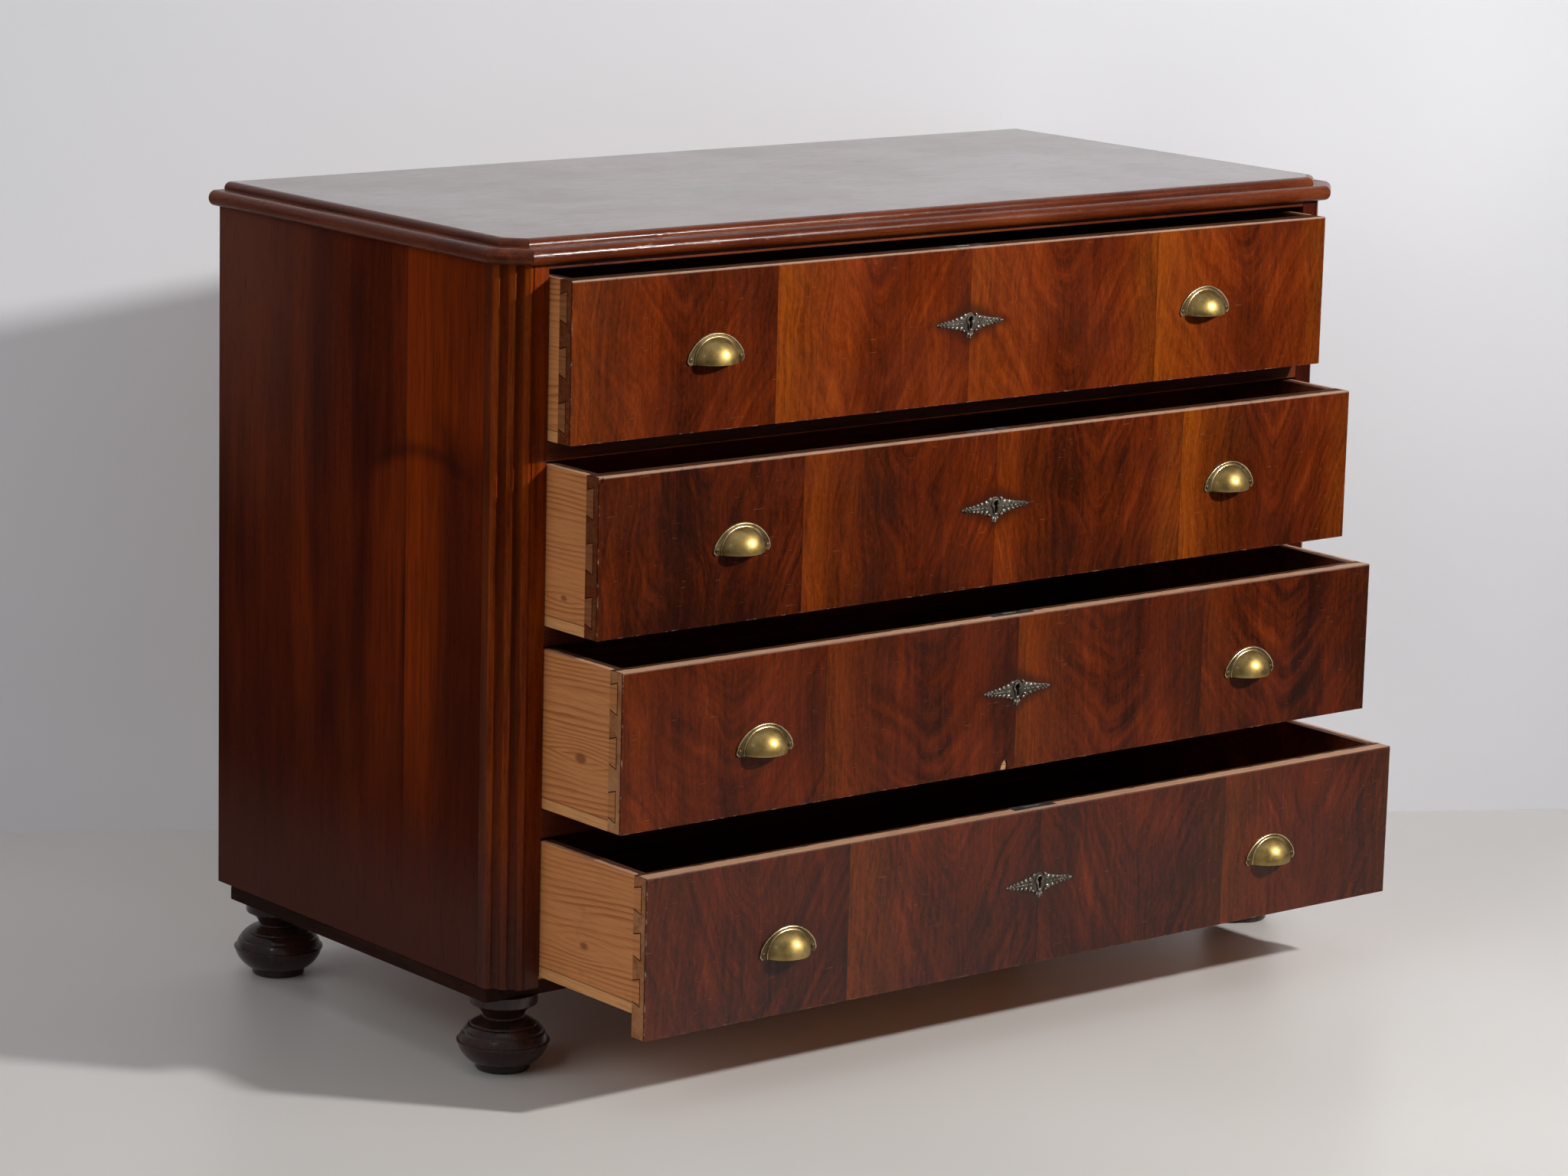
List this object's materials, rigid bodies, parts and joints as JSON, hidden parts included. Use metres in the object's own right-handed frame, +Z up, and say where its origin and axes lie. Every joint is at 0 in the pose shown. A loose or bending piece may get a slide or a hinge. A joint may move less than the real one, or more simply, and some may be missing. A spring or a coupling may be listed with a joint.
{
  "type": "chest of drawers",
  "caption": "Bachelors chest: a veneered chest of drawers with dovetailed drawers, brass cup pulls, fluted canted corners, a moulded top edge and turned bun feet.",
  "frame": {"origin": "on the floor, under the middle of the box round the chest with its drawers pulled out as at rest", "axes": "+X to the right of someone facing the front, -Y out of the front, +Z up"},
  "size_m": [1.123, 0.702, 0.8345],
  "materials": {
    "front_veneer": "french polished flame mahogany veneer",
    "case_veneer": "french polished dark mahogany",
    "top_veneer": "high gloss polished mahogany",
    "dark_wood": "satin dark stained hardwood",
    "pine": "bare aged pine",
    "brass": "aged polished brass",
    "grey_brass": "worn silvered brass",
    "iron": "dull worn iron"
  },
  "bodies": {
    "carcass": {"top_board": "top_veneer", "top_moulding": "case_veneer", "side_panel_left": "case_veneer", "side_panel_right": "case_veneer", "corner_post_left": "case_veneer", "corner_post_right": "case_veneer", "back_boards": "pine", "bottom_board": "pine", "top_rail": "case_veneer", "drawer_rail_1": "case_veneer", "drawer_rail_2": "case_veneer", "drawer_rail_3": "case_veneer", "drawer_runners": "pine", "drawer_stops": "pine", "base_battens": "dark_wood", "bun_feet": "dark_wood"},
    "drawer_1": {"drawer_1_front": "pine", "drawer_1_veneer": "front_veneer", "drawer_1_side_left": "pine", "drawer_1_side_right": "pine", "drawer_1_back": "pine", "drawer_1_bottom": "pine", "drawer_1_pull_left": "brass", "drawer_1_pull_right": "brass", "drawer_1_escutcheon": "grey_brass", "drawer_1_lock_case": "iron"},
    "lock_bolt_1": {"drawer_1_lock_bolt": "iron"},
    "drawer_2": {"drawer_2_front": "pine", "drawer_2_veneer": "front_veneer", "drawer_2_side_left": "pine", "drawer_2_side_right": "pine", "drawer_2_back": "pine", "drawer_2_bottom": "pine", "drawer_2_pull_left": "brass", "drawer_2_pull_right": "brass", "drawer_2_escutcheon": "grey_brass", "drawer_2_lock_case": "iron"},
    "lock_bolt_2": {"drawer_2_lock_bolt": "iron"},
    "drawer_3": {"drawer_3_front": "pine", "drawer_3_veneer": "front_veneer", "drawer_3_side_left": "pine", "drawer_3_side_right": "pine", "drawer_3_back": "pine", "drawer_3_bottom": "pine", "drawer_3_pull_left": "brass", "drawer_3_pull_right": "brass", "drawer_3_escutcheon": "grey_brass", "drawer_3_lock_case": "iron"},
    "lock_bolt_3": {"drawer_3_lock_bolt": "iron"},
    "drawer_4": {"drawer_4_front": "pine", "drawer_4_veneer": "front_veneer", "drawer_4_side_left": "pine", "drawer_4_side_right": "pine", "drawer_4_back": "pine", "drawer_4_bottom": "pine", "drawer_4_pull_left": "brass", "drawer_4_pull_right": "brass", "drawer_4_escutcheon": "grey_brass", "drawer_4_lock_case": "iron"},
    "lock_bolt_4": {"drawer_4_lock_bolt": "iron"}
  },
  "joints": [
    {"name": "drawer_1_slide", "type": "slide", "parent": "carcass", "child": "drawer_1", "axis": [0, -1, 0], "range_m": [-0.036, 0.344]},
    {"name": "lock_bolt_1_slide", "type": "slide", "parent": "drawer_1", "child": "lock_bolt_1", "axis": [0, 0, 1], "range_m": [0, 0.012]},
    {"name": "drawer_2_slide", "type": "slide", "parent": "carcass", "child": "drawer_2", "axis": [0, -1, 0], "range_m": [-0.084, 0.296]},
    {"name": "lock_bolt_2_slide", "type": "slide", "parent": "drawer_2", "child": "lock_bolt_2", "axis": [0, 0, 1], "range_m": [0, 0.012]},
    {"name": "drawer_3_slide", "type": "slide", "parent": "carcass", "child": "drawer_3", "axis": [0, -1, 0], "range_m": [-0.127, 0.253]},
    {"name": "lock_bolt_3_slide", "type": "slide", "parent": "drawer_3", "child": "lock_bolt_3", "axis": [0, 0, 1], "range_m": [0, 0.012]},
    {"name": "drawer_4_slide", "type": "slide", "parent": "carcass", "child": "drawer_4", "axis": [0, -1, 0], "range_m": [-0.171, 0.209]},
    {"name": "lock_bolt_4_slide", "type": "slide", "parent": "drawer_4", "child": "lock_bolt_4", "axis": [0, 0, 1], "range_m": [0, 0.012]}
  ]
}
